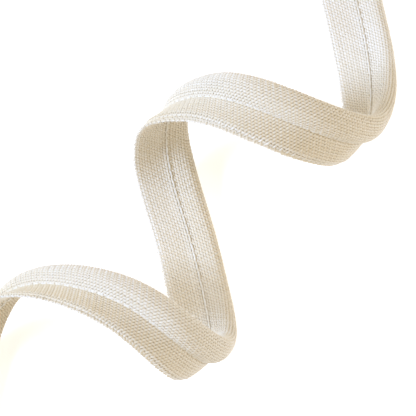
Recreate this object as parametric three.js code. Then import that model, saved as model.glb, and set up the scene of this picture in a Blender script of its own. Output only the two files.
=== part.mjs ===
// Piping trim: a linen strip folded round a cord and sewn, so that it has a round bead along one edge and a
// flange of two layers with raw edges along the other. It lies in a loose, stretched-out coil of two arches.
// Millimetres, +Z up. The origin is on the table under the middle of the trim.
import * as THREE from "three";

// Sizes of the section, measured across the trim from the seam.
const BEAD_WIDTH = 6.5; // seam to the outer edge of the bead
const OUTER_CROWN = { across: 2.2, out: 2.4 }; // the bead's highest line on the outside of the coil
const INNER_CROWN = { across: 4.25, out: -2.25 }; // the same on the inside
const OUTER_FULLNESS = 0.6; // under 1, the bead swells quickly from its groove on the outside
const INNER_FULLNESS = 0.75; // the same on the inside
const FLANGE_REACH = 9.1; // seam to the raw edge of the longer layer, where cup and parted are given
const LAYER = 1.0; // thickness of one layer of cloth
const LAYER_GAP = 0.3; // between the two layers, just past the seam
const FLANGE_OUT = -0.6; // the middle of the flange, which leaves the bead nearer to the inside of the coil
const PINCH = 0.85; // from the flange's middle to the inner face at the seam, where the sewing pinches it
const OUTER_GROOVE = { across: -1.5, out: FLANGE_OUT + LAYER_GAP / 2 + LAYER }; // the bead leans out here
const INNER_GROOVE = { across: 0, out: FLANGE_OUT - PINCH };
const BEND_START = 1.0; // seam to where the flange starts to bend
const SLIT_START = 2.2; // seam to where the two layers come apart
const OUTER_SHARE = 0.75; // how much of the parting is the outer layer's

// The sweep.
const STATIONS = 104; // sections along the trim
const TABLE_Z = 0; // the cloth is pressed flat where it lies on the table
const COIL_AXIS = new THREE.Vector3(0.57, 0.822, 0).normalize(); // from the raw edges towards the bead

// Guide rows of the seam line, from the far end to the near one. x, y and z pull the line towards them, and roll
// turns the section about the line, in degrees. At the raw edges, cup is how far the flange bends in towards
// the coil, and parted is how far its two layers stand apart, most at the left bends. outer and inner are the
// distances of the two raw edges from the seam. Flat stretches lie on the table.
const GUIDES = [
  { x: 45, y: 76.5, z: 1.7, roll: -4, cup: 0, parted: 0.6, outer: 8.2, inner: 9.1 }, // far end, flat
  { x: 49, y: 63.5, z: 1.7, roll: -4, cup: 0, parted: 0.6, outer: 8.2, inner: 9.1 },
  { x: 52, y: 50.5, z: 1.6, roll: -4, cup: 0, parted: 0.6, outer: 8.2, inner: 9.1 },
  { x: 55, y: 36.5, z: 2.2, roll: 0, cup: 0, parted: 0.6, outer: 8.3, inner: 9.1 }, // right bend
  { x: 56, y: 23, z: 10, roll: 2, cup: 0.4, parted: 0.6, outer: 8.4, inner: 9.1 },
  { x: 54, y: 12.5, z: 21.5, roll: -2, cup: 1, parted: 0.6, outer: 8.5, inner: 9.1 },
  { x: 49.5, y: 8.5, z: 34, roll: 6, cup: 2, parted: 0.6, outer: 8.6, inner: 9.1 }, // first arch
  { x: 38.5, y: 10, z: 44, roll: 6, cup: 1.2, parted: 0.6, outer: 8.5, inner: 9.1 },
  { x: 25, y: 15.5, z: 46.5, roll: 0, cup: 0, parted: 0.6, outer: 8.2, inner: 9.1 },
  { x: 13.5, y: 20.5, z: 39, roll: -12, cup: 0, parted: 1, outer: 7.6, inner: 9.1 },
  { x: 5, y: 21, z: 26.5, roll: -18, cup: 0, parted: 1.6, outer: 7.3, inner: 9.1 }, // left bend
  { x: 2, y: 19.5, z: 17.5, roll: -24, cup: 0, parted: 1.7, outer: 7.3, inner: 9.1 },
  { x: 1.5, y: 14, z: 8, roll: -20, cup: 0, parted: 1.4, outer: 7.5, inner: 9.1 },
  { x: 4, y: 4, z: 2.5, roll: -14, cup: 0, parted: 0.9, outer: 8, inner: 9.1 },
  { x: 8, y: -8, z: 1.6, roll: -6, cup: 0, parted: 0.6, outer: 8.2, inner: 9.1 }, // middle, flat
  { x: 10.5, y: -18, z: 1.5, roll: -4, cup: 0, parted: 0.6, outer: 8.3, inner: 9.1 },
  { x: 13.5, y: -31, z: 2.5, roll: 8, cup: 0.4, parted: 0.6, outer: 8.4, inner: 9.1 }, // right bend
  { x: 15.5, y: -41, z: 11.5, roll: 8, cup: 1, parted: 0.6, outer: 8.5, inner: 9 },
  { x: 13.5, y: -45, z: 25, roll: 8, cup: 2.4, parted: 0.6, outer: 8.6, inner: 8.9 },
  { x: 6, y: -40.5, z: 36, roll: -2, cup: 1, parted: 0.6, outer: 8.5, inner: 8.8 }, // second arch
  { x: -5, y: -31.5, z: 38.5, roll: -24, cup: -0.4, parted: 0.6, outer: 8.2, inner: 8.7 },
  { x: -17.5, y: -26.5, z: 33, roll: -28, cup: -1.2, parted: 0.7, outer: 7.7, inner: 8.7 },
  { x: -28.5, y: -24, z: 25, roll: -32, cup: -2, parted: 1, outer: 7.3, inner: 8.8 },
  { x: -38.5, y: -25.5, z: 15, roll: -30, cup: -1.8, parted: 1.4, outer: 7.3, inner: 9 }, // left bend
  { x: -46, y: -36, z: 5, roll: -20, cup: -0.4, parted: 1.2, outer: 7.5, inner: 9.1 },
  { x: -49, y: -49, z: 1.6, roll: -12, cup: 0, parted: 0.7, outer: 8, inner: 9.1 }, // near end, flat
  { x: -52, y: -64, z: 1.8, roll: -2, cup: 0, parted: 0.6, outer: 8.2, inner: 9.1 },
  { x: -55, y: -77, z: 1.8, roll: -2, cup: 0, parted: 0.6, outer: 8.2, inner: 9.1 },
];

// A column of the guide rows at t, from 0 at the far end to 1 at the near one, blended as a cubic B-spline.
function guide(column, t) {
  const spans = GUIDES.length - 3;
  const span = Math.min(Math.floor(t * spans), spans - 1);
  const f = t * spans - span;
  const weights = [(1 - f) ** 3, 3 * f ** 3 - 6 * f ** 2 + 4, 1 + 3 * f + 3 * f ** 2 - 3 * f ** 3, f ** 3];
  return weights.reduce((sum, w, k) => sum + (w * GUIDES[span + k][column]) / 6, 0);
}

// The line of the seam, along the whole trim.
class SeamLine extends THREE.Curve {
  getPoint(t, target = new THREE.Vector3()) {
    return target.set(guide("x", t), guide("y", t), guide("z", t));
  }
}

// One side of the bead as [across, out] points, from its groove to near its tip: up to the crown as a quarter
// sine raised to the fullness, then down as a quarter ellipse.
function beadSide(groove, crown, fullness) {
  const rising = [0.03, 0.12, 0.3, 0.55, 0.8, 1].map((part) => {
    const swell = Math.sin((Math.PI / 2) * part) ** fullness;
    const across = groove.across + part * (crown.across - groove.across);
    return [across, groove.out + swell * (crown.out - groove.out)];
  });
  const falling = [30, 60].map((degrees) => {
    const turn = THREE.MathUtils.degToRad(degrees);
    return [crown.across + (BEAD_WIDTH - crown.across) * Math.sin(turn), crown.out * Math.cos(turn)];
  });
  return [...rising, ...falling];
}

// The section at t as [across, out] points: across the trim from the seam, and out from the coil. It runs along
// the outside from the raw edge to the bead, round the bead, back along the inside, and through the slit.
function trimSection(t) {
  const outerEdge = -guide("outer", t);
  const innerEdge = -guide("inner", t);
  const reach = (across) => Math.max(-across - BEND_START, 0) / (FLANGE_REACH - BEND_START);
  const bend = (across) => FLANGE_OUT - guide("cup", t) * reach(across) ** 2;
  const opening = (across) => guide("parted", t) * reach(across) ** 1.5;
  const outerShift = (across) => bend(across) + LAYER_GAP / 2 + OUTER_SHARE * opening(across);
  const innerShift = (across) => bend(across) - LAYER_GAP / 2 - (1 - OUTER_SHARE) * opening(across);
  const outerBead = beadSide(OUTER_GROOVE, OUTER_CROWN, OUTER_FULLNESS);
  const innerBead = beadSide(INNER_GROOVE, INNER_CROWN, INNER_FULLNESS);
  const groove = OUTER_GROOVE.across;
  const outer = [1, 0.75, 0.5, 0.22].map((part) => groove + part * (outerEdge - groove));
  const inner = [0.1, 0.25, 0.45, 0.65, 0.84, 1].map((part) => part * innerEdge);
  const slit = [1, 0.75, 0.45];
  return [
    ...outer.map((across) => [across, outerShift(across) + LAYER]),
    [groove, OUTER_GROOVE.out],
    ...outerBead,
    [BEAD_WIDTH, 0],
    ...innerBead.toReversed(),
    [INNER_GROOVE.across, INNER_GROOVE.out],
    ...inner.map((across) => [across, innerShift(across) - LAYER]),
    ...slit.map((part) => [part * innerEdge, innerShift(part * innerEdge)]),
    [-SLIT_START, innerShift(-SLIT_START)],
    [-SLIT_START, outerShift(-SLIT_START)],
    ...slit.toReversed().map((part) => [part * outerEdge, outerShift(part * outerEdge)]),
  ];
}

// The directions at t: across the trim towards the bead, and out from the coil.
function directions(line, t) {
  const along = line.getTangent(t);
  const across = COIL_AXIS.clone().addScaledVector(along, -COIL_AXIS.dot(along)).normalize();
  across.applyAxisAngle(along, (-guide("roll", t) * Math.PI) / 180);
  return { across, out: across.clone().cross(along) };
}

// The closed surface of the trim: a ring of points for each station, joined to the next, with flat cut ends.
function trimGeometry() {
  const line = new SeamLine();
  const positions = [];
  const triangles = [];
  for (let i = 0; i < STATIONS; i += 1) {
    const t = i / (STATIONS - 1);
    const { across, out } = directions(line, t);
    for (const [a, o] of trimSection(t)) {
      const point = line.getPoint(t).addScaledVector(across, a).addScaledVector(out, o);
      positions.push(point.x, point.y, Math.max(point.z, TABLE_Z));
    }
  }
  const count = trimSection(0).length;
  for (let i = 0; i < STATIONS - 1; i += 1) {
    for (let j = 0; j < count; j += 1) {
      const here = [i * count + j, i * count + ((j + 1) % count)];
      const next = [here[0] + count, here[1] + count];
      triangles.push(here[0], here[1], next[1], here[0], next[1], next[0]);
    }
  }
  for (const [station, faces] of [[0, -1], [STATIONS - 1, 1]]) {
    const flat = trimSection(station ? 1 : 0).map(([a, o]) => new THREE.Vector2(a, o));
    for (const [a, b, c] of THREE.ShapeUtils.triangulateShape(flat, [])) {
      const turn = THREE.ShapeUtils.area([flat[a], flat[b], flat[c]]) * faces;
      const corners = turn < 0 ? [a, b, c] : [a, c, b];
      triangles.push(...corners.map((corner) => station * count + corner));
    }
  }
  const geometry = new THREE.BufferGeometry();
  geometry.setAttribute("position", new THREE.Float32BufferAttribute(positions, 3));
  geometry.setIndex(triangles);
  geometry.computeVertexNormals();
  return geometry;
}

const linen = new THREE.MeshStandardMaterial({ color: 0xe9e1d2, roughness: 0.92, metalness: 0 });
const trim = new THREE.Mesh(trimGeometry(), linen);
trim.name = "piping_trim";

const part = new THREE.Group();
part.add(trim);

export default part;
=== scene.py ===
# %% [markdown]
# # Linen piping trim
# This is a length of piping: a strip of undyed linen, folded lengthwise round a filler and sewn close
# behind it. That gives a round bead along one edge and a flange of two layers with raw edges along the
# other. The trim lies on a table in a loose coil of two arches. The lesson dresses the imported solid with
# real cloth: a thin folded sheet, the yarns woven on it, the frayed raw edges, the row of sewing and the
# cut ends.

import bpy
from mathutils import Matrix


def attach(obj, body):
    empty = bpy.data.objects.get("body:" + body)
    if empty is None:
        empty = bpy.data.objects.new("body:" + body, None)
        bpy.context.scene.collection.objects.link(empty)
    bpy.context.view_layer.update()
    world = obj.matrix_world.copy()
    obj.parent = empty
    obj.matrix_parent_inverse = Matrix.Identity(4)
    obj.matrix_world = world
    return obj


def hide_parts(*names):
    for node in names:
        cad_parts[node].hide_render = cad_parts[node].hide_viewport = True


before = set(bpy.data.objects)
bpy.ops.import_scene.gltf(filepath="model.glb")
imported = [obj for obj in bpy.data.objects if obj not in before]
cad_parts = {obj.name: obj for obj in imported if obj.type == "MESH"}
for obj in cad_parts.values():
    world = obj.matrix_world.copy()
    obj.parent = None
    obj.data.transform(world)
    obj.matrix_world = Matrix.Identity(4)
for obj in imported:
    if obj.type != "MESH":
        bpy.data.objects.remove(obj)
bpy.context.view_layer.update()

import bpy
import numpy as np
from mathutils import Vector

# %% [markdown]
# ## The seam line
# Everything on this trim follows the line of its seam, so that line comes first. It could be drawn as a
# Bezier curve, but numbers are easier to keep equal to the solid: a list of guide rows, blended as a
# cubic B-spline, gives the line, the turn of the section about it, and how the flange bends and parts.
# Lengths are in millimetres until a mesh is made.

# %% Guide rows of the seam line
MM = 0.001  # metres in a millimetre
COIL_AXIS = np.array([0.57, 0.822, 0.0])  # from the raw edges towards the bead

# Columns: x, y, z, roll in degrees, then cup and parted at the raw edges, and the outer and inner raw edges'
# distances from the seam. From the far end to the near one.
GUIDES = np.array([
    [45, 76.5, 1.7, -4, 0, 0.6, 8.2, 9.1],  # far end, flat on the table
    [49, 63.5, 1.7, -4, 0, 0.6, 8.2, 9.1],
    [52, 50.5, 1.6, -4, 0, 0.6, 8.2, 9.1],
    [55, 36.5, 2.2, 0, 0, 0.6, 8.3, 9.1],  # right bend
    [56, 23, 10, 2, 0.4, 0.6, 8.4, 9.1],
    [54, 12.5, 21.5, -2, 1, 0.6, 8.5, 9.1],
    [49.5, 8.5, 34, 6, 2, 0.6, 8.6, 9.1],  # first arch
    [38.5, 10, 44, 6, 1.2, 0.6, 8.5, 9.1],
    [25, 15.5, 46.5, 0, 0, 0.6, 8.2, 9.1],
    [13.5, 20.5, 39, -12, 0, 1, 7.6, 9.1],
    [5, 21, 26.5, -18, 0, 1.6, 7.3, 9.1],  # left bend, layers parted
    [2, 19.5, 17.5, -24, 0, 1.7, 7.3, 9.1],
    [1.5, 14, 8, -20, 0, 1.4, 7.5, 9.1],
    [4, 4, 2.5, -14, 0, 0.9, 8, 9.1],
    [8, -8, 1.6, -6, 0, 0.6, 8.2, 9.1],  # middle stretch, flat on the table
    [10.5, -18, 1.5, -4, 0, 0.6, 8.3, 9.1],
    [13.5, -31, 2.5, 8, 0.4, 0.6, 8.4, 9.1],  # right bend
    [15.5, -41, 11.5, 8, 1, 0.6, 8.5, 9],
    [13.5, -45, 25, 8, 2.4, 0.6, 8.6, 8.9],
    [6, -40.5, 36, -2, 1, 0.6, 8.5, 8.8],  # second arch
    [-5, -31.5, 38.5, -24, -0.4, 0.6, 8.2, 8.7],
    [-17.5, -26.5, 33, -28, -1.2, 0.7, 7.7, 8.7],
    [-28.5, -24, 25, -32, -2, 1, 7.3, 8.8],
    [-38.5, -25.5, 15, -30, -1.8, 1.4, 7.3, 9],  # left bend, layers parted
    [-46, -36, 5, -20, -0.4, 1.2, 7.5, 9.1],
    [-49, -49, 1.6, -12, 0, 0.7, 8, 9.1],  # near end, flat on the table
    [-52, -64, 1.8, -2, 0, 0.6, 8.2, 9.1],
    [-55, -77, 1.8, -2, 0, 0.6, 8.2, 9.1],
])


# %% The line worked out at many stations
def unit(vectors):
    """Vectors divided by their lengths."""
    return vectors / np.linalg.norm(vectors, axis=-1, keepdims=True)


def guide_columns(t):
    """All guide columns at t from 0 to 1: the four nearest rows, weighted as a uniform cubic B-spline."""
    spans = len(GUIDES) - 3
    span = np.minimum((t * spans).astype(int), spans - 1)
    f = t * spans - span
    weights = np.stack([(1 - f) ** 3, 3 * f**3 - 6 * f**2 + 4, 1 + 3 * f + 3 * f**2 - 3 * f**3, f**3]) / 6
    return sum(weights[k][:, None] * GUIDES[span + k] for k in range(4))


STATIONS = 2400
station_t = np.linspace(0, 1, STATIONS)
columns = guide_columns(station_t)
seam_point = columns[:, :3]
roll = np.radians(columns[:, 3:4])
cup, parted, outer_edge, inner_edge = columns[:, 4:].T

heading = unit(np.gradient(seam_point, axis=0))
level = unit(COIL_AXIS - heading * (heading @ COIL_AXIS)[:, None])
across_way = np.cos(roll) * level + np.sin(roll) * np.cross(level, heading)
out_way = np.cross(across_way, heading)

step_length = np.linalg.norm(np.diff(seam_point, axis=0), axis=1)
seam_run = np.concatenate([[0], np.cumsum(step_length)])
TRIM_LENGTH = seam_run[-1]
print(f"seam line: {TRIM_LENGTH:.1f} mm long, highest at {seam_point[:, 2].max():.1f} mm")

# %% [markdown]
# ## The fold of the cloth
# Seen from its cut end, the strip runs from the outer raw edge to the seam, round the bead, back to the
# seam and out to the inner raw edge, which sticks out a little past the outer one. It could be modelled
# by hand, but one number, the distance across the strip, is enough to say where on that fold a point
# lies. Two numbers, along and across, then place any point of the cloth, and every piece is made from
# that one function.

# %% Sizes of the fold
HALF_CLOTH = 0.30  # half the thickness of the woven cloth
BEAD_WIDTH = 6.5  # seam to the outer edge of the bead
OUTER_CROWN = (2.2, 2.4)  # across and out of the bead's highest line on the outside of the coil
INNER_CROWN = (4.25, -2.25)  # the same on the inside
OUTER_FULLNESS = 0.60  # under 1, the bead swells quickly from its groove on the outside of the coil
INNER_FULLNESS = 0.75  # the same on the inside
OUTER_GROOVE = -1.1  # the full bead leans over the seam on the outside, so its groove lies beside the seam
INNER_GROOVE = 0.05
FLANGE_OUT = -0.6  # the middle of the flange, which leaves the bead nearer to the inside of the coil
FLANGE_REACH = 9.1  # seam to the raw edge of the longer layer, where cup and parted are given
SLIT_START = 1.0  # seam to where the two layers come apart
OUTER_SHARE = 0.75  # how much of the parting is the outer layer's
LAYER_OUT = 0.33  # half the distance between the middles of the two layers where they lie together
RIDGE = 0.30  # the sewing puffs up the inner layer in a ridge beside its groove
RIDGE_ACROSS = -0.6
RIDGE_WIDTH = 0.5
CLOSED = 0.6  # the solid's thick layers are this far apart where thin cloth lies together
THIN_SHARE = 0.15  # past that, the thin layers part by this share of what the thick ones do
BEAD_LUMPS = 0.025  # uneven filling, as a share of the bead's thickness
LUMP_STEP = 7.0  # between draws of the filling along the seam
EDGE_RIPPLE = 0.10  # how far the raw edges wave
RIPPLE_STEP = 6.0
EDGE_PRESS = 0.6  # how far the outer raw edge is pressed down into the layer below
EDGE_PRESS_RUN = 1.0  # how wide that pressed edge is
TABLE_CLEARANCE = 0.02


# %% Smooth chance
def smooth(x):
    """0 below 0, 1 above 1, and an even S between them."""
    x = np.clip(x, 0, 1)
    return x * x * (3 - 2 * x)


def wander(run, step, rng):
    """Smooth random numbers along rows of distances: a draw every step, blended by an even S."""
    place = np.maximum(run - run.min(), 0) / step
    left = place.astype(int)
    draws = rng.normal(size=(len(run), left.max() + 2))
    blend = smooth(place - left)
    rows = np.arange(len(run))[:, None]
    return draws[rows, left] * (1 - blend) + draws[rows, left + 1] * blend


cloth_rng = np.random.default_rng(41)
bead_lumps = BEAD_LUMPS * wander(seam_run[None], LUMP_STEP, cloth_rng)[0]
outer_ripple = EDGE_RIPPLE * wander(seam_run[None], RIPPLE_STEP, cloth_rng)[0]
inner_ripple = EDGE_RIPPLE * wander(seam_run[None], RIPPLE_STEP, cloth_rng)[0]
print(f"filling uneven by up to {100 * np.abs(bead_lumps).max():.0f} percent")


# %% The bead's outline, measured along the cloth
SIDE_POINTS = 200  # from a groove to the crown, and as many to the tip


def bead_side(groove, crown, fullness):
    """Across and out of the cloth's middle on one side of the bead, from its groove to its tip: up to the
    crown as a quarter sine raised to the fullness, then down as a quarter ellipse."""
    x = np.linspace(0, 1, SIDE_POINTS)
    swell = np.sin(np.pi / 2 * x) ** fullness
    turn = np.pi / 2 * x[1:]
    tip = BEAD_WIDTH - HALF_CLOTH
    up = groove[0] + (crown[0] - groove[0]) * x, groove[1] + (crown[1] - groove[1]) * swell
    down = crown[0] + (tip - crown[0]) * np.sin(turn), crown[1] * np.cos(turn)
    return [np.concatenate(pair) for pair in zip(up, down)]


def bead_outline():
    """The whole way round the bead: its outer side from groove to tip, then its inner side back."""
    outer_crown = (OUTER_CROWN[0], OUTER_CROWN[1] - HALF_CLOTH)
    inner_crown = (INNER_CROWN[0], INNER_CROWN[1] + HALF_CLOTH)
    outer = bead_side((OUTER_GROOVE, FLANGE_OUT + LAYER_OUT), outer_crown, OUTER_FULLNESS)
    inner = bead_side((INNER_GROOVE, FLANGE_OUT - LAYER_OUT), inner_crown, INNER_FULLNESS)
    return [np.concatenate([there, back[-2::-1]]) for there, back in zip(outer, inner)]


bead_across, bead_out = bead_outline()
bead_run = np.concatenate([[0], np.cumsum(np.hypot(np.diff(bead_across), np.diff(bead_out)))])
BEAD_GIRTH = bead_run[-1]
OUTER_RUN = outer_edge.mean() + OUTER_GROOVE
INNER_RUN = inner_edge.mean() + INNER_GROOVE
STRIP_WIDTH = OUTER_RUN + BEAD_GIRTH + INNER_RUN
print(f"flat strip: {STRIP_WIDTH:.1f} mm wide and {TRIM_LENGTH:.1f} mm long")
print(f"of its width, {BEAD_GIRTH:.1f} mm go round the bead")


# %% Any point of the cloth
NUDGE = 0.05


def at_station(table, s):
    """A table of the stations at distances s along the seam, straight between stations."""
    if table.ndim == 1:
        return np.interp(s, seam_run, table)
    return np.stack([np.interp(s, seam_run, column) for column in table.T], axis=-1)


def fold_place(s, v):
    """Across and out of the cloth's middle, s along the seam and v across the strip from the outer raw edge.
    On the flange, the layers lie a little apart, cup in towards the coil by the square of their reach,
    part by its power of 1.5 and ripple at the raw edges, and the outer one is pressed down at its edge by
    an even S. The sewing's ridge is a bell curve. Between the two grooves v follows the bead's outline."""
    past_groove = v - OUTER_RUN
    outer = past_groove < 0
    inner = past_groove > BEAD_GIRTH
    outer_across = OUTER_GROOVE + past_groove / OUTER_RUN * (at_station(outer_edge, s) + OUTER_GROOVE)
    past_seam = past_groove - BEAD_GIRTH
    inner_across = INNER_GROOVE - past_seam / INNER_RUN * (at_station(inner_edge, s) + INNER_GROOVE)
    flange_across = np.where(outer, outer_across, inner_across)
    reach = np.maximum(-flange_across - SLIT_START, 0) / (FLANGE_REACH - SLIT_START)
    ridge = RIDGE * np.exp(-(((inner_across - RIDGE_ACROSS) / RIDGE_WIDTH) ** 2))
    opening = THIN_SHARE * np.maximum(at_station(parted, s) - CLOSED, 0) * reach**1.5
    ripple = np.where(outer, at_station(outer_ripple, s), at_station(inner_ripple, s)) * reach**2
    press = EDGE_PRESS * smooth(1 - v / EDGE_PRESS_RUN)
    outer_out = FLANGE_OUT + LAYER_OUT - press + OUTER_SHARE * opening
    inner_out = FLANGE_OUT - LAYER_OUT - ridge - (1 - OUTER_SHARE) * opening
    flange_out = np.where(outer, outer_out, inner_out) - at_station(cup, s) * reach**2 + ripple
    on_bead = ~(outer | inner)
    swell = 1 + at_station(bead_lumps, s)
    across = np.where(on_bead, np.interp(past_groove, bead_run, bead_across), flange_across)
    out = np.where(on_bead, np.interp(past_groove, bead_run, bead_out) * swell, flange_out)
    return across, out


def cloth_place(s, v):
    """Points of the cloth's middle and their normals, which face away from the fold's inside: the slope of
    the fold, from a nudge to both sides, turned by a quarter."""
    across, out = fold_place(s, v)
    across_before, out_before = fold_place(s, v - NUDGE)
    across_after, out_after = fold_place(s, v + NUDGE)
    slope = unit(np.stack([across_after - across_before, out_after - out_before], axis=-1))
    ways_across, ways_out = at_station(across_way, s), at_station(out_way, s)
    points = at_station(seam_point, s) + across[..., None] * ways_across + out[..., None] * ways_out
    normals = slope[..., :1] * ways_out - slope[..., 1:] * ways_across
    return points, unit(normals)


# %% [markdown]
# ## From arrays to meshes
# A surface on a grid becomes a mesh in three steps: the points as one array, the faces as arrays of
# point numbers, and both handed to Blender with foreach_set, which is far quicker than a loop over
# vertices. The same helper stores a tone for each point, which the finish reads, and a map of the faces
# laid flat.

# %% Mesh helper
FLAT_MAP = "OFBake"


def mesh_piece(name, points, faces, flat, tone):
    """An object at the origin from points in mm, face arrays of one width each, flat places by corner and
    tones."""
    corners = np.concatenate([face.ravel() for face in faces])
    used, corners = np.unique(corners, return_inverse=True)
    sizes = np.concatenate([np.full(len(face), face.shape[1]) for face in faces])
    mesh = bpy.data.meshes.new(name)
    mesh.vertices.add(len(used))
    mesh.loops.add(len(corners))
    mesh.polygons.add(len(sizes))
    places = points.reshape(-1, 3)[used]
    places[:, 2] = np.maximum(places[:, 2], TABLE_CLEARANCE)
    mesh.vertices.foreach_set("co", (places * MM).astype(np.float32).ravel())
    mesh.loops.foreach_set("vertex_index", corners.astype(np.int32))
    mesh.polygons.foreach_set("loop_start", np.concatenate([[0], np.cumsum(sizes)[:-1]]).astype(np.int32))
    mesh.polygons.foreach_set("use_smooth", np.ones(len(sizes), bool))
    layer = mesh.uv_layers.new(name=FLAT_MAP)
    flat_corners = np.concatenate([part.reshape(-1, 2) for part in flat])
    layer.uv.foreach_set("vector", flat_corners.astype(np.float32).ravel())
    shade = mesh.attributes.new("tone", "FLOAT", "POINT")
    shade.data.foreach_set("value", tone.ravel()[used].astype(np.float32))
    mesh.validate()
    mesh.update()
    piece = bpy.data.objects.new(name, mesh)
    bpy.context.scene.collection.objects.link(piece)
    triangles = int((sizes - 2).sum())
    print(f"{name}: {len(used)} points, {triangles} triangles")
    return piece


def grid_faces(numbers):
    """Quads between neighbouring rows and columns of a grid of point numbers."""
    quads = np.stack([numbers[:-1, :-1], numbers[1:, :-1], numbers[1:, 1:], numbers[:-1, 1:]], axis=-1)
    return quads.reshape(-1, 4)


# %% [markdown]
# ## The folded sheet
# The cloth itself is one thin sheet on the fold. A plane with Solidify would do, but the two faces and
# the rim are just as short to write out, and the sheet then stays closed where it is pressed on the
# table. Seen between the yarns, it is the ground of the weave, darkened as painted shade. Its tone isn't
# even: a table along the seam paints light and shade into it, paler at the far end and deeper at the
# near end and on the outer flange in the left bends. The raw edges are the palest, partly from loose
# fibre and partly from painted light shining through the thin cloth.

# %% Tone of the linen
LINEN_TONE = 0.15
FLUFF_START = 1.7  # the cloth turns paler from here to the inner raw edge
FLUFF_BLEND = 0.7
# painted light shining through the thin raw edges, together with the paleness of their loose fibre
FLUFF_AND_GLOW_TONE = 0.20
OUTER_FLUFF_AND_GLOW_RUN = 1.4  # and in this width at the outer raw edge
TONE_BLEND = 0.5  # the width in which one tone runs into the next at a groove

# Painted light and shade: millimetres along the seam, then how much paler the outer flange, the bead and
# the inner flange are painted there, deeper where the amount is below 0.
PAINTED_LIGHT_TABLE = np.array([
    [0, 0.0, 0.25, 0.30],  # far end, the palest
    [25, 0.0, 0.25, 0.25],
    [45, 0.0, 0.0, -0.05],  # right bend
    [110, 0.0, 0.1, 0.25],  # first arch
    [130, -0.25, 0.0, 0.05],  # left bend
    [160, -0.1, 0.05, 0.15],
    [185, 0.0, 0.0, 0.0],  # middle stretch
    [240, 0.1, 0.2, 0.2],  # second arch
    [275, -0.3, 0.05, 0.2],  # left bend
    [300, -0.1, -0.2, -0.1],  # near end, the deepest
])


def fluff_and_glow(v):
    """How pale the raw edges are at v across the strip, partly from loose fibre and partly from painted
    light shining through the thin cloth: 0, rising by an even S to 1 in the single layer that sticks out
    at the inner raw edge, and in a narrow strip at the outer one."""
    inner = smooth((v - STRIP_WIDTH + FLUFF_START) / FLUFF_BLEND)
    return np.maximum(inner, smooth(1 - v / OUTER_FLUFF_AND_GLOW_RUN))


def cloth_tone(s, v):
    """The linen's tone at s along and v across: its own tone, plus the painted light and shade of the outer
    flange, the bead and the inner flange, each straight between rows, plus the pale raw edges."""
    outer, bead, inner = (np.interp(s, PAINTED_LIGHT_TABLE[:, 0], PAINTED_LIGHT_TABLE[:, part]) for part in (1, 2, 3))
    to_bead = smooth((v - OUTER_RUN) / TONE_BLEND + 0.5)
    to_inner = smooth((v - OUTER_RUN - BEAD_GIRTH) / TONE_BLEND + 0.5)
    # painted light and shade along the seam, blended across the grooves
    paler = outer + (bead - outer) * to_bead + (inner - bead) * to_inner
    return LINEN_TONE + paler + FLUFF_AND_GLOW_TONE * fluff_and_glow(v)


middle_v = OUTER_RUN + BEAD_GIRTH / 2
far_tone, near_tone = cloth_tone(np.array([0.0, TRIM_LENGTH]), middle_v)
print(f"tone of the bead: {far_tone:.2f} at the far end and {near_tone:.2f} at the near one")

# %% The sheet
SHEET_ROWS = 330
SHEET_COLUMNS = 44
SHEET_HALF = 0.07  # half the thickness of the ground between the yarns
EDGE_MARGIN = 0.25  # the ground ends a little inside the raw edges
FLAT_SHARE = 0.48  # of the flat map's height, for each face of the sheet
UNDER_SHIFT = 0.5  # the under face lies above the upper one on the map


def rim_loop(grid):
    """The numbers round the rim of a grid, once round."""
    return np.concatenate([grid[0, :-1], grid[:-1, -1], grid[-1, :0:-1], grid[:0:-1, 0]])


def folded_sheet():
    """A closed sheet: the cloth's middle pushed out and in along its normal, with quads round the rim."""
    s = np.linspace(0, TRIM_LENGTH, SHEET_ROWS)[:, None]
    v = np.linspace(EDGE_MARGIN, STRIP_WIDTH - EDGE_MARGIN, SHEET_COLUMNS)[None]
    s, v = np.broadcast_arrays(s, v)
    points, normals = cloth_place(s, v)
    both = np.stack([points + SHEET_HALF * normals, points - SHEET_HALF * normals])
    numbers = np.arange(both[..., 0].size).reshape(both.shape[:3])
    top, under = numbers
    upper, lower = rim_loop(top), rim_loop(under)
    rim = np.stack([upper, np.roll(upper, -1), np.roll(lower, -1), lower], axis=-1)
    faces = [grid_faces(top), grid_faces(under)[:, ::-1], rim]
    lay = np.stack([s / TRIM_LENGTH, v / STRIP_WIDTH * FLAT_SHARE], axis=-1)
    flat_points = np.stack([lay, lay + [0, UNDER_SHIFT]]).reshape(-1, 2)
    flat = [flat_points[face] for face in faces]
    tone = np.broadcast_to(cloth_tone(s, v), both.shape[:3])
    return mesh_piece("linen_sheet", both, faces, flat, tone)


linen_sheet = folded_sheet()

# %% [markdown]
# ## The yarns
# The linen is a plain weave of about 14 yarns to the centimetre. One set runs along the strip and the
# other crosses it on a slant, because the strip was pulled askew as it was sewn. A bump map could fake
# this, but real yarns keep their shadows from every side, and the same yarns make the frayed edges. Each
# yarn is a flattened tube that passes over one crossing and under the next, with a painted highlight on
# its crowns and painted shade where it dips and along its flanks. Linen is spun unevenly, so each yarn
# swells and thins a little.

# %% Sizes of the weave
YARN_PITCH = 0.71  # between yarns, measured square to them
YARN_WIDTH = 0.60
YARN_THICKNESS = 0.36
YARN_LIFT = 0.21  # how far a crossing lifts a yarn from the cloth's middle
YARN_SIDES = 6
SLANT = np.radians(51)  # between the two sets of yarns
SLUB_LENGTH = 5.0  # between draws of a yarn's thickness
SLUB = 0.08  # how uneven the thickness is
THINNEST = 0.7  # shares of the even thickness that a yarn never passes
THICKEST = 1.4
DRIFT = 0.03  # how far yarns stray from their even places
TONE_SHIFT = 0.03  # how much a yarn's tone strays, from yarn to yarn and along it
CROWN_LIGHT_AND_SHADE = 0.30  # painted highlight: a yarn is painted paler where it lies on top, and deeper where it dips under
FLANK_SHADE = 0.05  # painted shade: deeper along its flanks, and most under it

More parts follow.
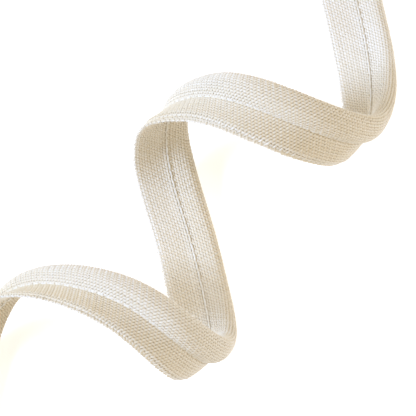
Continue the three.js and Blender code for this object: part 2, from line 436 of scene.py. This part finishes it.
LONG_YARNS = round(STRIP_WIDTH / YARN_PITCH)
LONG_PITCH = STRIP_WIDTH / LONG_YARNS
CROSS_PITCH = YARN_PITCH / np.sin(SLANT)  # along the seam
SHEAR = 1 / np.tan(SLANT)  # how far a crossing yarn slips back for each mm across
HALF_SHIFT = SHEAR * STRIP_WIDTH / 2
CROSS_YARNS = 2 * int((TRIM_LENGTH / 2 + HALF_SHIFT) / CROSS_PITCH) + 1


def cross_start(index):
    """Where a crossing yarn meets the middle of the strip, in mm along the seam."""
    return TRIM_LENGTH / 2 + (index - (CROSS_YARNS - 1) / 2) * CROSS_PITCH


print(f"weave: {LONG_YARNS} yarns along the strip and {CROSS_YARNS} across it")


# %% Tubes along rows of cloth points
MAP_FILL = 0.9  # how much of its strip of the flat map a yarn takes up


def yarn_tubes(name, s, v, lift, wide, thick, tone, keep):
    """Yarns as tubes: rows of cloth points, each with a flattened ring of points round it.
    A ring point is the cloth's point, plus the lift along the normal, plus half the width times the cosine
    of its angle sideways and half the thickness times the sine along the normal. Kept runs get end faces."""
    points, normals = cloth_place(s, v)
    points = points + lift[..., None] * normals
    sideways = unit(np.cross(unit(np.gradient(points, axis=1)), normals))
    angle = 2 * np.pi * np.arange(YARN_SIDES) / YARN_SIDES
    ring_side = (0.5 * wide[..., None] * np.cos(angle))[..., None] * sideways[:, :, None]
    ring_up = (0.5 * thick[..., None] * np.sin(angle))[..., None] * normals[:, :, None]
    rings = points[:, :, None] + ring_side + ring_up
    numbers = np.arange(rings[..., 0].size).reshape(rings.shape[:3])
    turned = np.roll(numbers, -1, axis=2)
    walls = np.stack([numbers[:, :-1], numbers[:, 1:], turned[:, 1:], turned[:, :-1]], axis=-1)
    beside = np.pad(keep, ((0, 0), (1, 1)))
    first = numbers[beside[:, 1:] & ~beside[:, :-1]]
    last = numbers[beside[:, :-1] & ~beside[:, 1:]][:, ::-1]
    rows, count = s.shape
    along = np.arange(count) / (count - 1)
    around = np.arange(YARN_SIDES + 1) / YARN_SIDES * MAP_FILL
    beside_rows = (np.arange(rows)[:, None, None] + around) / rows
    lay = np.stack(np.broadcast_arrays(along[None, :, None], beside_rows), axis=-1)
    wall_lay = np.stack([lay[:, :-1, :-1], lay[:, 1:, :-1], lay[:, 1:, 1:], lay[:, :-1, 1:]], axis=-2)
    ring_lay = lay[:, :, :-1].reshape(-1, 2)
    faces = [walls[keep].reshape(-1, 4), first, last]
    flat = [wall_lay[keep].reshape(-1, 2), ring_lay[first], ring_lay[last]]
    # painted shade: each ring is deeper along the yarn's flanks, and most under it
    tones = np.clip(tone[..., None] - FLANK_SHADE * (1 - np.sin(angle)), 0, 1)
    return mesh_piece(name, rings, faces, flat, tones)


def uneven(run, rng):
    """Slubs, drift and shift of tone of rows of yarn: smooth chance along each, and a shift of its own."""
    slub = np.clip(1 + SLUB * wander(run, SLUB_LENGTH, rng), THINNEST, THICKEST)
    drift = DRIFT * wander(run, 2 * SLUB_LENGTH, rng)
    shift = TONE_SHIFT * rng.normal(size=(len(run), 1)) + TONE_SHIFT * wander(run, SLUB_LENGTH, rng)
    return slub, drift, shift


# %% Yarns along the strip
def long_yarns(name, picked, rng):
    """Yarns at even places across the strip, with a point at each crossing and one between crossings."""
    half_steps = np.arange(2 * CROSS_YARNS - 1)
    v = (picked + 0.5)[:, None] * LONG_PITCH + 0 * half_steps
    s = cross_start(half_steps / 2) - SHEAR * (v - STRIP_WIDTH / 2)
    over = np.cos(np.pi * (half_steps / 2 + picked[:, None]))
    slub, drift, shift = uneven(s, rng)
    inside = (s > 0) & (s < TRIM_LENGTH)
    keep = inside[:, :-1] & inside[:, 1:]
    # painted highlight on the crowns and painted shade where a yarn dips, on the cloth's tone and the yarn's
    # own shift
    tone = np.clip(cloth_tone(s, v) + CROWN_LIGHT_AND_SHADE * over + shift, 0, 1)
    return yarn_tubes(name, np.clip(s, 0, TRIM_LENGTH), v + drift, YARN_LIFT * over,
                      YARN_WIDTH * slub, YARN_THICKNESS * slub, tone, keep)


yarn_rng = np.random.default_rng(7)
long_index = np.arange(LONG_YARNS)
long_v = (long_index + 0.5) * LONG_PITCH
on_outer = long_v < OUTER_RUN
on_inner = long_v > OUTER_RUN + BEAD_GIRTH
outer_yarns = long_yarns("long_yarns_outer_flange", long_index[on_outer], yarn_rng)
outer_bead, inner_bead = np.array_split(long_index[~on_outer & ~on_inner], 2)
outer_bead_yarns = long_yarns("long_yarns_outer_bead", outer_bead, yarn_rng)
inner_bead_yarns = long_yarns("long_yarns_inner_bead", inner_bead, yarn_rng)
inner_yarns = long_yarns("long_yarns_inner_flange", long_index[on_inner], yarn_rng)

# %% [markdown]
# ## Yarns across the strip and the frayed edges
# The crossing yarns run from one raw edge to the other and stick out past the last long yarn. There they
# are cut, so their ends are of uneven length, thinner at the tip, and lean a little. Hair particles
# could make a fringe, but that comb of short ends is all the fraying this trim has, so the yarns just
# run on.

# %% Yarns across the strip
FRAY_SHARES = np.array([0.3, 0.65, 1.0])  # places of the points along a frayed end
FRAY_LONGEST = 0.65
FRAY_SHORTEST = 0.15
INNER_FRAY = 0.5  # the inner raw edge is less frayed, by this share
TRIMMED = 0.5  # the most that a second draw shortens an end, as a share of it
EDGE_STUB = 0.25  # every end sticks out at least this far past the last crossing
FRAY_LEAN = 0.25  # how far frayed ends lean along the seam, by their length
FRAY_RISE = 0.15  # and how far they lift or sink, by its square
FRAY_FLATTEN = 0.4  # the length in which a yarn stops weaving up and down
TIP = 0.45  # thickness of a frayed tip, as a share of the yarn's
FRAY_TONE = 0.15  # how much paler a frayed tip is


def cross_yarns(name, picked, rng):
    """Yarns on a slant from raw edge to raw edge, with frayed ends: their points go on past the last
    crossing by a length drawn for each end, lean along the seam and lift by the square of that length."""
    half_steps = np.arange(2 * LONG_YARNS - 1)
    rows = len(picked)
    longest = rng.uniform(FRAY_SHORTEST, FRAY_LONGEST, (rows, 2))
    ends = longest * rng.uniform(TRIMMED, 1, (rows, 2)) * [1, INNER_FRAY]
    lean = rng.normal(0, FRAY_LEAN, (rows, 2))
    rise = rng.normal(0, FRAY_RISE, (rows, 2))
    first_v, last_v = 0.5 * LONG_PITCH, STRIP_WIDTH - 0.5 * LONG_PITCH
    woven_v = np.broadcast_to((half_steps / 2 + 0.5) * LONG_PITCH, (rows, len(half_steps)))
    start_v = first_v - (EDGE_STUB + ends[:, :1] * FRAY_SHARES[::-1])
    end_v = last_v + EDGE_STUB + ends[:, 1:] * FRAY_SHARES
    v = np.concatenate([start_v, woven_v, end_v], axis=1)
    past = np.maximum(first_v - v, 0) + np.maximum(v - last_v, 0)
    side = np.where(v < STRIP_WIDTH / 2, 0, 1)
    row = np.arange(rows)[:, None]
    s = cross_start(picked)[:, None] - SHEAR * (v - STRIP_WIDTH / 2) + lean[row, side] * past
    steps = np.pad(half_steps, (len(FRAY_SHARES), len(FRAY_SHARES)), mode="edge")
    over = -np.cos(np.pi * (steps / 2 + picked[:, None])) * np.exp(-past / FRAY_FLATTEN)
    lift = YARN_LIFT * over + rise[row, side] * past**2
    slub, drift, shift = uneven(v - v.min(), rng)
    frayed = np.clip(past / (ends.max() + EDGE_STUB), 0, 1)
    thin = 1 - (1 - TIP) * frayed
    inside = (s > 0) & (s < TRIM_LENGTH)
    keep = inside[:, :-1] & inside[:, 1:]
    # painted highlight on the crowns and painted shade where a yarn dips, plus paler frayed tips and the
    # yarn's own shift
    tone = np.clip(cloth_tone(s, v) + CROWN_LIGHT_AND_SHADE * over + FRAY_TONE * frayed + shift, 0, 1)
    thick = YARN_THICKNESS * slub * (1 + thin) / 2  # a tip thins half as much in thickness as in width
    return yarn_tubes(name, np.clip(s + drift, 0, TRIM_LENGTH), v, lift,
                      YARN_WIDTH * slub * thin, thick, tone, keep)


thirds = np.array_split(np.arange(CROSS_YARNS), 3)
far_yarns = cross_yarns("cross_yarns_far", thirds[0], yarn_rng)
middle_yarns = cross_yarns("cross_yarns_middle", thirds[1], yarn_rng)
near_yarns = cross_yarns("cross_yarns_near", thirds[2], yarn_rng)

# %% [markdown]
# ## The row of sewing
# A row of straight stitches in undyed thread closes the strip behind the bead. On the inside of the coil
# it lies open, as a pale line that hardly breaks between two stitches. On the outside the full bead
# leans over it, so it lies deep in the groove. One curve with a bevel would give a plain cord, so each
# stitch is a short tube of its own, which comes up, lies on the cloth and goes down again.

# %% Stitches
STITCH_PITCH = 2.5
STITCH_GAP = 0.04  # between the ends of two stitches
THREAD = 0.50  # thickness of the thread
INNER_ROW = 0.40  # from the inner groove, on the flange's side
OUTER_ROW = 0.05  # the same on the outside
OUTER_SINK = 0.22  # how deep the outer row is pulled into the cloth
STITCH_POINTS = 9
STITCH_SLANT = 0.05  # how far the ends of a stitch stray to the sides
STITCH_LIE = 0.3  # how far its middle stands off the cloth, as a share of the thread
STITCH_RISE = 0.3  # under 1, a stitch comes up steeply: the power of its sine
STITCH_END = 0.8  # thickness at its ends, as a share of the thread
STITCH_TONE = 0.5
STITCH_TONE_SHIFT = 0.1


def stitches(name, rng):
    """Two rows of stitches: each follows the cloth, rises as a power of a sine to lie on it, and slants."""
    count = int(TRIM_LENGTH / STITCH_PITCH)
    start = (np.arange(count) + 0.5) * STITCH_PITCH + (TRIM_LENGTH - count * STITCH_PITCH) / 2
    start = np.concatenate([start, start])
    rows = len(start)
    f = np.linspace(0, 1, STITCH_POINTS)
    s = start[:, None] + (f - 0.5) * (STITCH_PITCH - STITCH_GAP)
    row_v = np.repeat([OUTER_RUN - OUTER_ROW, OUTER_RUN + BEAD_GIRTH + INNER_ROW], count)[:, None]
    v = row_v + rng.normal(0, STITCH_SLANT, (rows, 1)) * (2 * f - 1)
    sink = np.repeat([OUTER_SINK, 0], count)[:, None]
    arc = np.sin(np.pi * f)
    lift = (HALF_CLOTH + STITCH_LIE * THREAD) * arc**STITCH_RISE - sink + 0 * s
    thick = THREAD * (STITCH_END + (1 - STITCH_END) * arc) + 0 * s
    keep = np.ones((rows, STITCH_POINTS - 1), bool)
    tone = np.clip(STITCH_TONE + STITCH_TONE_SHIFT * rng.normal(size=(rows, 1)) + 0 * s, 0, 1)
    return yarn_tubes(name, s, v, lift, thick, thick, tone, keep)


seam_stitches = stitches("seam_stitches", np.random.default_rng(19))

# %% [markdown]
# ## The cut ends
# Both ends of the length are cut straight. The bead is full there, so its end is a plain round face, a
# little proud in the middle. A filled circle would leave gaps at the grooves, so the face is a set of
# rings that draw the bead's own outline in to its centre.

# %% Bead ends
END_RINGS = 8
END_BULGE = 0.25
END_REACH = 1.6  # the filling shows this far behind the seam, between the two layers
END_TONE = 0.4
END_STEP = 12  # every so many points of the bead's outline are used
END_CENTRE = 0.04  # size of the innermost ring, as a share of the outline


def bead_ends():
    """Faces that fill the bead's two ends: its outline, led on between the layers behind the seam, drawn
    in to the bead's centre line and bulging as a parabola."""
    outline_across = np.concatenate([[-END_REACH], bead_across[::END_STEP], [-END_REACH]])
    outline_out = np.concatenate([[FLANGE_OUT + LAYER_OUT], bead_out[::END_STEP], [FLANGE_OUT - LAYER_OUT]])
    shrink = np.linspace(1, END_CENTRE, END_RINGS)[:, None]
    across = outline_across * shrink + (1 - shrink) * BEAD_WIDTH / 2
    out = outline_out * shrink
    sets, faces, total = [], [], 0
    for station, facing in ((0, -1), (-1, 1)):
        bulge = facing * (END_BULGE * (1 - shrink**2) + 0 * out)
        sets.append(seam_point[station] + across[..., None] * across_way[station]
                    + out[..., None] * out_way[station] + bulge[..., None] * heading[station])
        numbers = total + np.arange(out.size).reshape(out.shape)
        ring = np.concatenate([numbers, numbers[:, :1]], axis=1)
        walls = grid_faces(ring)
        middle = numbers[-1:]
        faces.append((walls if facing > 0 else walls[:, ::-1], middle if facing < 0 else middle[:, ::-1]))
        total += out.size
    points = np.stack(sets)
    walls = np.concatenate([pair[0] for pair in faces])
    middles = np.concatenate([pair[1] for pair in faces])
    spread = np.stack([across, out], axis=-1) / (4 * BEAD_WIDTH) + 0.25
    flat_points = np.concatenate([spread.reshape(-1, 2), spread.reshape(-1, 2) + [0.5, 0]])
    return mesh_piece("bead_ends", points, [walls, middles], [flat_points[walls], flat_points[middles]],
                      np.full(points.shape[:3], END_TONE))


cut_ends = bead_ends()

# %% [markdown]
# ## Linen, its ground and the thread
# Undyed linen is off-white with a warm cast, matt, and a little lighter or darker from yarn to yarn. A
# plain colour would look like plastic, so the tone stored on the points picks a place on a ramp from a
# deeper through a paler linen to the near-white of the loose fibre at the raw edges, and a fine noise adds
# fibres to the colour and the bump. The tone also carries painted light and shade along the coil, on the
# yarns' crowns and flanks, and through the raw edges. The ground between the yarns is the same linen,
# darkened as painted shade, and the thread is a little whiter.

# %% Finishes
FIBRE_SHARE = 0.3  # how much the fibres shift the tone
FIBRE_DEPTH = 0.05  # height of the fibres in mm
FIBRE_BUMP = 0.25
FIBRE_DETAIL = 3.0
FIBRE_SHINE = 0.15  # linen reflects little
SHEEN_SPREAD = 0.6
TONE_STOPS = (0.1, 0.5, 0.9)


def finish(name, tones, roughness, sheen, fibre):
    """A matt fibre finish: the piece's tone, shifted by a fine noise, picks a colour on a ramp of three."""
    material = bpy.data.materials.new(name)
    material.use_nodes = True
    nodes, links = material.node_tree.nodes, material.node_tree.links
    shader = nodes["Principled BSDF"]
    shader.inputs["Roughness"].default_value = roughness
    shader.inputs["Specular IOR Level"].default_value = FIBRE_SHINE
    shader.inputs["Sheen Weight"].default_value = sheen
    shader.inputs["Sheen Roughness"].default_value = SHEEN_SPREAD
    place = nodes.new("ShaderNodeTexCoord")
    tone = nodes.new("ShaderNodeAttribute")
    tone.attribute_name = "tone"
    grain = nodes.new("ShaderNodeTexNoise")
    grain.inputs["Scale"].default_value = fibre
    grain.inputs["Detail"].default_value = FIBRE_DETAIL
    links.new(place.outputs["Object"], grain.inputs["Vector"])
    spread = nodes.new("ShaderNodeMath")
    spread.operation = "MULTIPLY_ADD"
    spread.inputs[1].default_value = FIBRE_SHARE
    links.new(grain.outputs["Fac"], spread.inputs[0])
    links.new(tone.outputs["Fac"], spread.inputs[2])
    ramp = nodes.new("ShaderNodeValToRGB")
    stops = ramp.color_ramp.elements
    stops.new(TONE_STOPS[1])
    for stop, position, colour in zip(stops, TONE_STOPS, tones):
        stop.position = position
        stop.color = (*colour, 1)
    links.new(spread.outputs["Value"], ramp.inputs["Fac"])
    links.new(ramp.outputs["Color"], shader.inputs["Base Color"])
    bump = nodes.new("ShaderNodeBump")
    bump.inputs["Strength"].default_value = FIBRE_BUMP
    bump.inputs["Distance"].default_value = FIBRE_DEPTH * MM
    links.new(grain.outputs["Fac"], bump.inputs["Height"])
    links.new(bump.outputs["Normal"], shader.inputs["Normal"])
    return material


LINEN = [(0.80, 0.68, 0.465), (0.86, 0.795, 0.67), (0.97, 0.955, 0.915)]
# the ground's ramp is the linen darkened as painted shade between the yarns
GROUND_SHADE_TONES = [(0.46, 0.37, 0.24), (0.60, 0.52, 0.39), (0.88, 0.84, 0.75)]
THREAD_TONES = [(0.80, 0.71, 0.54), (0.88, 0.84, 0.75), (0.96, 0.945, 0.905)]

linen = finish("linen_yarn", LINEN, roughness=0.88, sheen=0.15, fibre=4000)
ground = finish("linen_ground_painted_shade", GROUND_SHADE_TONES, roughness=0.95, sheen=0.0, fibre=2500)
thread = finish("undyed_thread", THREAD_TONES, roughness=0.75, sheen=0.1, fibre=4000)

long_sets = [outer_yarns, outer_bead_yarns, inner_bead_yarns, inner_yarns]
woven = [*long_sets, far_yarns, middle_yarns, near_yarns]
for piece in woven:
    piece.data.materials.append(linen)
# the sheet and the cut ends take the ground finish, darkened as painted shade
for piece in (linen_sheet, cut_ends):
    piece.data.materials.append(ground)
seam_stitches.data.materials.append(thread)
print("finishes:", linen.name, ground.name, thread.name)

# %% [markdown]
# ## What the pieces belong to
# The trim is one thing that doesn't move in itself, so every piece rides on its root. The imported solid
# is hidden, and the folded sheet, the yarns, the stitches and the cut ends show in its place. The sheet's
# flat size tells how much cloth a maker would cut.

# %% Riding and standing for the solid
for piece in [linen_sheet, *woven, seam_stitches, cut_ends]:
    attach(piece, "root")
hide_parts("piping_trim")
print(f"{len(woven) + 3} pieces ride on the root")

# %% [markdown]
# ## Table, light and camera
# The trim lies on a plain white table, which glows faintly so that shadows on it stay pale. A cool soft
# lamp stands at the left like a window, a weak one fills in from the right, and a warm sky lights the
# rest: the bead then looks cool and the shaded flange warm. A sun lamp would be simpler, but its shadows
# are harder than those in a room. The camera looks down steeply from the front with a long lens, so the
# coil hardly narrows with distance.

# %% Table and light
FLOOR_HALF = 2.0  # metres
TABLE_WHITE = 0.94
TABLE_ROUGHNESS = 0.9
TABLE_GLOW = 0.46  # light from under the white table
SKY_COLOUR = (1.0, 0.876, 0.677)
SKY_STRENGTH = 0.56


def white_table():
    """A flat square on the ground, with a plain white finish."""
    mesh = bpy.data.meshes.new("table")
    corners = np.array([[-1, -1, 0], [1, -1, 0], [1, 1, 0], [-1, 1, 0]]) * FLOOR_HALF
    mesh.from_pydata(corners.tolist(), [], [(0, 1, 2, 3)])
    table = bpy.data.objects.new("table", mesh)
    bpy.context.scene.collection.objects.link(table)
    material = bpy.data.materials.new("white_table")
    material.use_nodes = True
    shader = material.node_tree.nodes["Principled BSDF"]
    shader.inputs["Base Color"].default_value = (TABLE_WHITE, TABLE_WHITE, TABLE_WHITE, 1)
    shader.inputs["Roughness"].default_value = TABLE_ROUGHNESS
    shader.inputs["Emission Color"].default_value = (1.0, 1.0, 1.0, 1)
    shader.inputs["Emission Strength"].default_value = TABLE_GLOW
    mesh.materials.append(material)
    return table


white_table()

world = bpy.data.worlds.new("warm_sky")
world.use_nodes = True
sky = world.node_tree.nodes["Background"]
sky.inputs["Color"].default_value = (*SKY_COLOUR, 1)
sky.inputs["Strength"].default_value = SKY_STRENGTH
bpy.context.scene.world = world

# %% Lamps
LAMP_SIZE = 0.25  # metres, as are the lamps' places


def soft_lamp(name, place, power, colour):
    """A square lamp that faces the middle of the trim."""
    lamp = bpy.data.lights.new(name, "AREA")
    lamp.size = LAMP_SIZE
    lamp.energy = power
    lamp.color = colour
    holder = bpy.data.objects.new(name, lamp)
    holder.location = place
    holder.rotation_euler = (-Vector(place)).to_track_quat("-Z", "Y").to_euler()
    bpy.context.scene.collection.objects.link(holder)


soft_lamp("window", (-0.69, 0.0, 0.40), power=6.5, colour=(0.48, 0.645, 0.98))
soft_lamp("fill", (0.51, 0.0, 0.61), power=1.55, colour=(0.88, 0.90, 1.0))
print("lamps: a cool one at the left and a weak one at the right")

# %% Camera
VIEW_TARGET = np.array([12.9, -5.2, 18.0])
VIEW_ELEVATION = np.radians(80)
VIEW_DISTANCE = 650.0
VIEW_WIDTH = 104.0  # what the picture spans at the target
NEAREST = 0.01  # metres from the camera

camera = bpy.data.cameras.new("camera")
camera.sensor_fit = "HORIZONTAL"
camera.angle = 2 * np.arctan(VIEW_WIDTH / 2 / VIEW_DISTANCE)
camera.clip_start = NEAREST
viewer = bpy.data.objects.new("camera", camera)
back = np.array([0, -np.cos(VIEW_ELEVATION), np.sin(VIEW_ELEVATION)])
viewer.location = (VIEW_TARGET + VIEW_DISTANCE * back) * MM
viewer.rotation_euler = (np.pi / 2 - VIEW_ELEVATION, 0, 0)
bpy.context.scene.collection.objects.link(viewer)
bpy.context.scene.camera = viewer
bpy.context.scene.view_settings.view_transform = "Standard"
print(f"camera: {VIEW_DISTANCE:.0f} mm from the trim, {np.degrees(VIEW_ELEVATION):.0f} degrees up")
